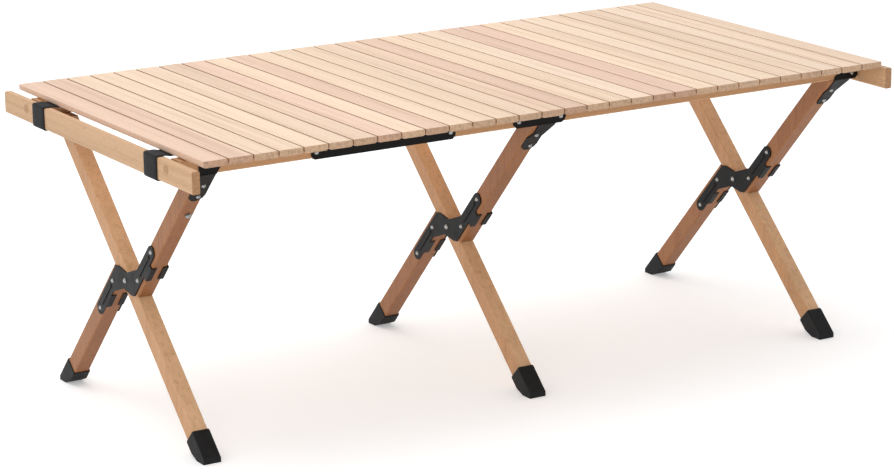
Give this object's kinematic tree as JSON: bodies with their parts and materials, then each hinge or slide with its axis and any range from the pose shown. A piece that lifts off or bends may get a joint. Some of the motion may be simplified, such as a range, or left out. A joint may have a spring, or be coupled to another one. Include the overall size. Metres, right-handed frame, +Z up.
{
  "type": "folding side table",
  "caption": "Low folding camp table: roll-up wooden slat top on two rails carried by scissor leg frames with black steel joints and rubber feet.",
  "frame": {"origin": "middle of the table, on the floor under the centre of its outline", "axes": "+X along the table towards the right end board, +Y across the table to the rear, +Z up"},
  "size_m": [1.2072, 0.62, 0.455],
  "materials": {
    "slat_beech": "fine-sanded, clear satin",
    "rail_beech": "clear satin",
    "leg_beech": "clear satin",
    "plug_beech": "end grain, clear satin",
    "black_steel": "black semi-gloss powder coat",
    "rivet_zinc": "bright zinc",
    "rubber_cap": "matt moulded"
  },
  "bodies": {
    "rear_frame": {"rear_rail": "rail_beech", "rear_channel": "black_steel", "long_leg_left": "leg_beech", "long_leg_middle": "leg_beech", "long_leg_right": "leg_beech", "rear_brackets": "black_steel", "pivot_pins": "rivet_zinc", "rear_rivets": "rivet_zinc", "front_feet": "rubber_cap"},
    "front_frame": {"front_rail": "rail_beech", "front_channel": "black_steel", "upper_leg_left": "leg_beech", "upper_leg_middle": "leg_beech", "upper_leg_right": "leg_beech", "lower_leg_left": "leg_beech", "lower_leg_middle": "leg_beech", "lower_leg_right": "leg_beech", "cross_plates_left": "black_steel", "cross_plates_middle": "black_steel", "cross_plates_right": "black_steel", "front_bracket_left": "black_steel", "front_bracket_middle": "black_steel", "front_bracket_right": "black_steel", "front_rivets": "rivet_zinc", "strap_stud": "rivet_zinc", "rear_feet": "rubber_cap"},
    "left_end_board": {"left_end_board": "rail_beech", "left_plugs": "plug_beech"},
    "slat_01": {"slat_01": "slat_beech"},
    "slat_02": {"slat_02": "slat_beech"},
    "slat_03": {"slat_03": "slat_beech"},
    "slat_04": {"slat_04": "slat_beech"},
    "slat_05": {"slat_05": "slat_beech"},
    "slat_06": {"slat_06": "slat_beech"},
    "slat_07": {"slat_07": "slat_beech"},
    "slat_08": {"slat_08": "slat_beech"},
    "slat_09": {"slat_09": "slat_beech"},
    "slat_10": {"slat_10": "slat_beech"},
    "slat_11": {"slat_11": "slat_beech"},
    "slat_12": {"slat_12": "slat_beech"},
    "slat_13": {"slat_13": "slat_beech"},
    "slat_14": {"slat_14": "slat_beech"},
    "slat_15": {"slat_15": "slat_beech"},
    "slat_16": {"slat_16": "slat_beech"},
    "slat_17": {"slat_17": "slat_beech"},
    "slat_18": {"slat_18": "slat_beech"},
    "slat_19": {"slat_19": "slat_beech"},
    "slat_20": {"slat_20": "slat_beech"},
    "slat_21": {"slat_21": "slat_beech"},
    "slat_22": {"slat_22": "slat_beech"},
    "slat_23": {"slat_23": "slat_beech"},
    "slat_24": {"slat_24": "slat_beech"},
    "slat_25": {"slat_25": "slat_beech"},
    "slat_26": {"slat_26": "slat_beech"},
    "slat_27": {"slat_27": "slat_beech"},
    "slat_28": {"slat_28": "slat_beech"},
    "slat_29": {"slat_29": "slat_beech"},
    "slat_30": {"slat_30": "slat_beech"},
    "right_end_board": {"right_end_board": "rail_beech", "right_plugs": "plug_beech"}
  },
  "joints": [
    {"name": "frame_fold", "type": "hinge", "parent": "rear_frame", "child": "front_frame", "pos_m": [0, 0, 0.215], "axis": [-1, 0, 0], "range_deg": [0, 86]},
    {"name": "top_lift", "type": "slide", "parent": "rear_frame", "child": "left_end_board", "axis": [0, 0, 1], "range_m": [0, 0.392]},
    {"name": "slat_01_bend", "type": "hinge", "parent": "left_end_board", "child": "slat_01", "pos_m": [-0.589, 0, 0.4455], "axis": [0, -1, 0], "range_deg": [0, 30]},
    {"name": "slat_02_bend", "type": "hinge", "parent": "slat_01", "child": "slat_02", "pos_m": [-0.54275, 0, 0.4455], "axis": [0, -1, 0], "range_deg": [0, 10]},
    {"name": "slat_03_bend", "type": "hinge", "parent": "slat_02", "child": "slat_03", "pos_m": [-0.50375, 0, 0.4455], "axis": [0, -1, 0], "range_deg": [0, 10]},
    {"name": "slat_04_bend", "type": "hinge", "parent": "slat_03", "child": "slat_04", "pos_m": [-0.46475, 0, 0.4455], "axis": [0, -1, 0], "range_deg": [0, 10]},
    {"name": "slat_05_bend", "type": "hinge", "parent": "slat_04", "child": "slat_05", "pos_m": [-0.42575, 0, 0.4455], "axis": [0, -1, 0], "range_deg": [0, 10]},
    {"name": "slat_06_bend", "type": "hinge", "parent": "slat_05", "child": "slat_06", "pos_m": [-0.38675, 0, 0.4455], "axis": [0, -1, 0], "range_deg": [0, 10]},
    {"name": "slat_07_bend", "type": "hinge", "parent": "slat_06", "child": "slat_07", "pos_m": [-0.34775, 0, 0.4455], "axis": [0, -1, 0], "range_deg": [0, 10]},
    {"name": "slat_08_bend", "type": "hinge", "parent": "slat_07", "child": "slat_08", "pos_m": [-0.30875, 0, 0.4455], "axis": [0, -1, 0], "range_deg": [0, 10]},
    {"name": "slat_09_bend", "type": "hinge", "parent": "slat_08", "child": "slat_09", "pos_m": [-0.26975, 0, 0.4455], "axis": [0, -1, 0], "range_deg": [0, 10]},
    {"name": "slat_10_bend", "type": "hinge", "parent": "slat_09", "child": "slat_10", "pos_m": [-0.23075, 0, 0.4455], "axis": [0, -1, 0], "range_deg": [0, 10]},
    {"name": "slat_11_bend", "type": "hinge", "parent": "slat_10", "child": "slat_11", "pos_m": [-0.19175, 0, 0.4455], "axis": [0, -1, 0], "range_deg": [0, 10]},
    {"name": "slat_12_bend", "type": "hinge", "parent": "slat_11", "child": "slat_12", "pos_m": [-0.15275, 0, 0.4455], "axis": [0, -1, 0], "range_deg": [0, 10]},
    {"name": "slat_13_bend", "type": "hinge", "parent": "slat_12", "child": "slat_13", "pos_m": [-0.11375, 0, 0.4455], "axis": [0, -1, 0], "range_deg": [0, 10]},
    {"name": "slat_14_bend", "type": "hinge", "parent": "slat_13", "child": "slat_14", "pos_m": [-0.07475, 0, 0.4455], "axis": [0, -1, 0], "range_deg": [0, 10]},
    {"name": "slat_15_bend", "type": "hinge", "parent": "slat_14", "child": "slat_15", "pos_m": [-0.03575, 0, 0.4455], "axis": [0, -1, 0], "range_deg": [0, 10]},
    {"name": "slat_16_bend", "type": "hinge", "parent": "slat_15", "child": "slat_16", "pos_m": [0.00325, 0, 0.4455], "axis": [0, -1, 0], "range_deg": [0, 10]},
    {"name": "slat_17_bend", "type": "hinge", "parent": "slat_16", "child": "slat_17", "pos_m": [0.04225, 0, 0.4455], "axis": [0, -1, 0], "range_deg": [0, 10]},
    {"name": "slat_18_bend", "type": "hinge", "parent": "slat_17", "child": "slat_18", "pos_m": [0.08125, 0, 0.4455], "axis": [0, -1, 0], "range_deg": [0, 10]},
    {"name": "slat_19_bend", "type": "hinge", "parent": "slat_18", "child": "slat_19", "pos_m": [0.12025, 0, 0.4455], "axis": [0, -1, 0], "range_deg": [0, 10]},
    {"name": "slat_20_bend", "type": "hinge", "parent": "slat_19", "child": "slat_20", "pos_m": [0.15925, 0, 0.4455], "axis": [0, -1, 0], "range_deg": [0, 10]},
    {"name": "slat_21_bend", "type": "hinge", "parent": "slat_20", "child": "slat_21", "pos_m": [0.19825, 0, 0.4455], "axis": [0, -1, 0], "range_deg": [0, 10]},
    {"name": "slat_22_bend", "type": "hinge", "parent": "slat_21", "child": "slat_22", "pos_m": [0.23725, 0, 0.4455], "axis": [0, -1, 0], "range_deg": [0, 10]},
    {"name": "slat_23_bend", "type": "hinge", "parent": "slat_22", "child": "slat_23", "pos_m": [0.27625, 0, 0.4455], "axis": [0, -1, 0], "range_deg": [0, 10]},
    {"name": "slat_24_bend", "type": "hinge", "parent": "slat_23", "child": "slat_24", "pos_m": [0.31525, 0, 0.4455], "axis": [0, -1, 0], "range_deg": [0, 10]},
    {"name": "slat_25_bend", "type": "hinge", "parent": "slat_24", "child": "slat_25", "pos_m": [0.35425, 0, 0.4455], "axis": [0, -1, 0], "range_deg": [0, 10]},
    {"name": "slat_26_bend", "type": "hinge", "parent": "slat_25", "child": "slat_26", "pos_m": [0.39325, 0, 0.4455], "axis": [0, -1, 0], "range_deg": [0, 10]},
    {"name": "slat_27_bend", "type": "hinge", "parent": "slat_26", "child": "slat_27", "pos_m": [0.43225, 0, 0.4455], "axis": [0, -1, 0], "range_deg": [0, 10]},
    {"name": "slat_28_bend", "type": "hinge", "parent": "slat_27", "child": "slat_28", "pos_m": [0.47125, 0, 0.4455], "axis": [0, -1, 0], "range_deg": [0, 10]},
    {"name": "slat_29_bend", "type": "hinge", "parent": "slat_28", "child": "slat_29", "pos_m": [0.51025, 0, 0.4455], "axis": [0, -1, 0], "range_deg": [0, 10]},
    {"name": "slat_30_bend", "type": "hinge", "parent": "slat_29", "child": "slat_30", "pos_m": [0.54925, 0, 0.4455], "axis": [0, -1, 0], "range_deg": [0, 10]},
    {"name": "right_board_pull", "type": "slide", "parent": "left_end_board", "child": "right_end_board", "axis": [1, 0, 0], "range_m": [0, 0.05]}
  ],
  "couplings": [
    {"joint": "top_lift", "follows": "frame_fold", "m_per_rad": 0.26}
  ]
}
